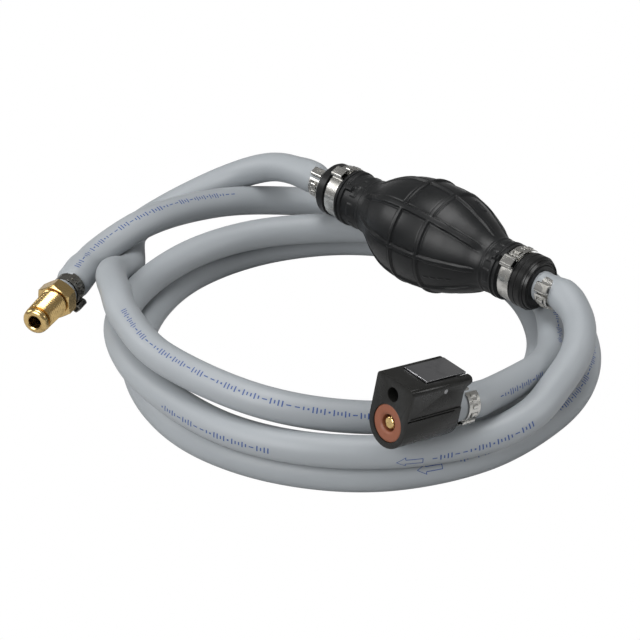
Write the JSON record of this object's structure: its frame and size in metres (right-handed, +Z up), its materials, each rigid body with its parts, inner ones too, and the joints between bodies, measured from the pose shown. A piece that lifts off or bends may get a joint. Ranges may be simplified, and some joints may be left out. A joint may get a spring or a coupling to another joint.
{
  "type": "marine fuel line with primer bulb",
  "caption": "Coiled fuel hose with an in-line squeeze bulb and check valves, a threaded tank fitting at one end and a latching quick connector at the other.",
  "frame": {"origin": "middle of the pump, on its axis, half way between the two hose clamps' barbs", "axes": "+X along the pump with the fuel flow, from the supply hose to the delivery hose, +Z up from the surface the coil lies on"},
  "size_m": [0.2753, 0.2322, 0.067],
  "materials": {
    "bulb_rubber": "satin black rubber",
    "hose_rubber": "matte bluish grey rubber",
    "black_plastic": "satin moulded",
    "white_plastic": "natural moulded",
    "spring_steel": "drawn wire",
    "stainless": "bright rolled band",
    "dark_steel": "darkened band",
    "latch_steel": "brushed",
    "brass": "turned and polished",
    "seal_rubber": "smooth brown rubber",
    "ring_rubber": "smooth black rubber"
  },
  "bodies": {
    "line": {"inlet_valve_body": "black_plastic", "inlet_spring": "spring_steel", "inlet_cage": "white_plastic", "outlet_valve_body": "black_plastic", "outlet_spring": "spring_steel", "outlet_seat": "white_plastic", "inlet_neck_clamp": "stainless", "outlet_neck_clamp": "stainless", "inlet_hose_clamp": "stainless", "outlet_hose_clamp": "stainless", "supply_hose": "hose_rubber", "tank_fitting": "brass", "fitting_clamp": "dark_steel", "delivery_hose": "hose_rubber", "connector_clamp": "stainless", "connector_body": "black_plastic", "face_seal": "seal_rubber", "connector_spring": "spring_steel", "hose_tail": "black_plastic", "tail_o_ring": "ring_rubber", "latch_pin": "latch_steel", "latch_spring": "spring_steel"},
    "bulb": {"primer_bulb": "bulb_rubber"},
    "inlet_valve": {"inlet_poppet": "white_plastic"},
    "outlet_valve": {"outlet_poppet": "white_plastic"},
    "shutoff_valve": {"connector_valve": "brass"},
    "latch": {"latch_lever": "latch_steel"}
  },
  "joints": [
    {"name": "bulb_squeeze", "type": "slide", "parent": "line", "child": "bulb", "axis": [0, 0, -1], "range_m": [0, 0.008], "stiffness_N_per_m": 1500, "deforming": ["primer_bulb"]},
    {"name": "inlet_lift", "type": "slide", "parent": "line", "child": "inlet_valve", "axis": [1, 0, 0], "range_m": [0, 0.0025], "stiffness_N_per_m": 60, "deforming": ["inlet_spring"]},
    {"name": "outlet_lift", "type": "slide", "parent": "line", "child": "outlet_valve", "axis": [1, 0, 0], "range_m": [0, 0.0025], "stiffness_N_per_m": 60, "deforming": ["outlet_spring"]},
    {"name": "shutoff_open", "type": "slide", "parent": "line", "child": "shutoff_valve", "axis": [0.0789, 0.9785, -0.1907], "range_m": [0, 0.003], "stiffness_N_per_m": 400, "deforming": ["connector_spring"]},
    {"name": "latch_press", "type": "hinge", "parent": "line", "child": "latch", "pos_m": [0.10087, -0.11249, 0.01661], "axis": [-0.9956, 0.0871, 0.0349], "range_deg": [0, 7], "stiffness_Nm_per_rad": 0.8, "deforming": ["latch_spring"]}
  ]
}
